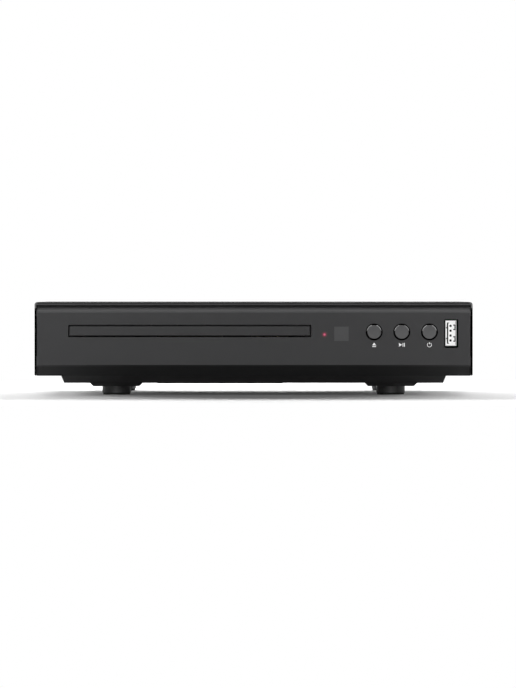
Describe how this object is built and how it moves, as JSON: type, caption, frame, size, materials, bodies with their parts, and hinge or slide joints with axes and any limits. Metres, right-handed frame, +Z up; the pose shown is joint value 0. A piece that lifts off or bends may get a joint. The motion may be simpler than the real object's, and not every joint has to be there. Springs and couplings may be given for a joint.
{
  "type": "dvd player",
  "caption": "Compact dark grey disc player with a slim motorised tray, three round buttons, a front socket and four feet.",
  "frame": {"origin": "on the surface it stands on, under the middle of the whole player", "axes": "+X to the right seen from the front, the front faces -Y, +Z up"},
  "size_m": [0.2282, 0.204, 0.0478],
  "materials": {
    "cover_paint": "fine textured satin",
    "panel_plastic": "satin moulded",
    "pan_steel": "dark coated steel",
    "rear_steel": "dark coated steel",
    "foot_plastic": "satin moulded",
    "rubber": "matt",
    "black_steel": "blackened screws",
    "zinc_steel": "zinc plated",
    "nickel": "bright nickel plate",
    "polished_steel": "ground and polished",
    "button_plastic": "satin with a bright rim",
    "indicator_plastic": "clear red",
    "window_plastic": "smoked",
    "white_plastic": "moulded",
    "natural_acetal": "natural acetal",
    "black_plastic": "moulded",
    "loader_plastic": "moulded",
    "gold_contacts": "gold flash",
    "brass_pins": "nickel flash",
    "circuit_board": "solder mask",
    "aluminium": "bare",
    "motor_steel": "plated",
    "ferrite": "core and wound bobbin",
    "lens_glass": "coated lens",
    "yellow_plastic": "moulded",
    "red_plastic": "moulded",
    "orange_plastic": "moulded",
    "flat_cable": "flat cable"
  },
  "bodies": {
    "root": {"top_cover": "cover_paint", "front_panel": "panel_plastic", "bottom_chassis": "pan_steel", "rear_panel": "rear_steel", "feet": "foot_plastic", "foot_pads": "rubber", "foot_screws": "zinc_steel", "cover_screws": "black_steel", "indicator_lens": "indicator_plastic", "ir_window": "window_plastic", "usb_shell": "nickel", "usb_tongue": "white_plastic", "usb_contacts": "gold_contacts", "front_board": "circuit_board", "tact_switches": "black_plastic", "indicator_led": "indicator_plastic", "ir_receiver": "black_plastic", "ribbon_cable": "flat_cable", "loader_frame": "loader_plastic", "clamp_bridge": "zinc_steel", "loader_screws": "zinc_steel", "load_motor": "motor_steel", "drive_belt": "rubber", "main_board": "circuit_board", "power_board": "circuit_board", "board_screws": "zinc_steel", "board_parts": "black_plastic", "transformer": "ferrite", "capacitors": "aluminium", "heat_sink": "aluminium", "jack_housing": "black_plastic", "jack_barrels": "nickel", "jack_insert_yellow": "yellow_plastic", "jack_insert_orange": "orange_plastic", "jack_insert_white": "white_plastic", "jack_insert_red": "red_plastic", "hdmi_shell": "nickel", "hdmi_tongue": "black_plastic", "mains_inlet": "black_plastic", "inlet_pins": "brass_pins"},
    "tray": {"disc_tray": "loader_plastic", "tray_door": "panel_plastic"},
    "eject_key": {"eject_button": "button_plastic"},
    "play_key": {"play_button": "button_plastic"},
    "power_key": {"power_button": "button_plastic"},
    "tray_wheel": {"tray_gear": "natural_acetal"},
    "pulley": {"pulley_gear": "natural_acetal"},
    "motor_rotor": {"motor_pulley": "brass_pins"},
    "cam": {"cam_slider": "natural_acetal"},
    "traverse": {"traverse_frame": "black_plastic", "spindle_motor": "motor_steel", "guide_rods": "polished_steel", "feed_motor": "motor_steel"},
    "spindle": {"spindle_rotor": "motor_steel", "turntable": "black_plastic", "turntable_pad": "rubber"},
    "clamp": {"clamper": "white_plastic"},
    "sled": {"pickup_body": "aluminium", "pickup_lens": "lens_glass"},
    "feed": {"feed_screw": "polished_steel"}
  },
  "joints": [
    {"name": "tray_slide", "type": "slide", "parent": "root", "child": "tray", "axis": [0, -1, 0], "range_m": [0, 0.13]},
    {"name": "tray_gear_spin", "type": "hinge", "parent": "root", "child": "tray_wheel", "pos_m": [0.0082, -0.073, 0.025], "axis": [0, 0, 1], "continuous": true},
    {"name": "pulley_spin", "type": "hinge", "parent": "root", "child": "pulley", "pos_m": [-0.00987, -0.0795, 0.023], "axis": [0, 0, 1], "continuous": true},
    {"name": "motor_spin", "type": "hinge", "parent": "root", "child": "motor_rotor", "pos_m": [-0.0528, -0.0775, 0.023], "axis": [0, 0, 1], "continuous": true},
    {"name": "traverse_lift", "type": "hinge", "parent": "root", "child": "traverse", "pos_m": [-0.0328, 0.0465, 0.025], "axis": [1, 0, 0], "range_deg": [0, 3.5]},
    {"name": "cam_slide", "type": "slide", "parent": "root", "child": "cam", "axis": [1, 0, 0], "range_m": [0, 0.01201]},
    {"name": "spindle_spin", "type": "hinge", "parent": "traverse", "child": "spindle", "pos_m": [-0.0328, -0.0315, 0.033], "axis": [0, 0, 1], "continuous": true},
    {"name": "clamper_spin", "type": "hinge", "parent": "root", "child": "clamp", "pos_m": [-0.0328, -0.0315, 0.042], "axis": [0, 0, 1], "continuous": true},
    {"name": "sled_slide", "type": "slide", "parent": "traverse", "child": "sled", "axis": [0, 1, 0], "range_m": [0, 0.034]},
    {"name": "feed_spin", "type": "hinge", "parent": "traverse", "child": "feed", "pos_m": [-0.0078, 0.0085, 0.024], "axis": [0, 1, 0], "continuous": true},
    {"name": "eject_press", "type": "slide", "parent": "root", "child": "eject_key", "axis": [0, 1, 0], "range_m": [0, 0.0005], "stiffness_N_per_m": 500},
    {"name": "play_press", "type": "slide", "parent": "root", "child": "play_key", "axis": [0, 1, 0], "range_m": [0, 0.0005], "stiffness_N_per_m": 500},
    {"name": "power_press", "type": "slide", "parent": "root", "child": "power_key", "axis": [0, 1, 0], "range_m": [0, 0.0005], "stiffness_N_per_m": 500}
  ],
  "couplings": [
    {"joint": "tray_gear_spin", "follows": "tray_slide", "rad_per_m": -111.11},
    {"joint": "pulley_spin", "follows": "tray_slide", "rad_per_m": 333.33},
    {"joint": "motor_spin", "follows": "tray_slide", "rad_per_m": 915.34},
    {"joint": "cam_slide", "follows": "traverse_lift", "m_per_rad": 0.19644},
    {"joint": "clamper_spin", "follows": "spindle_spin", "ratio": 1},
    {"joint": "feed_spin", "follows": "sled_slide", "rad_per_m": 2094.4}
  ]
}
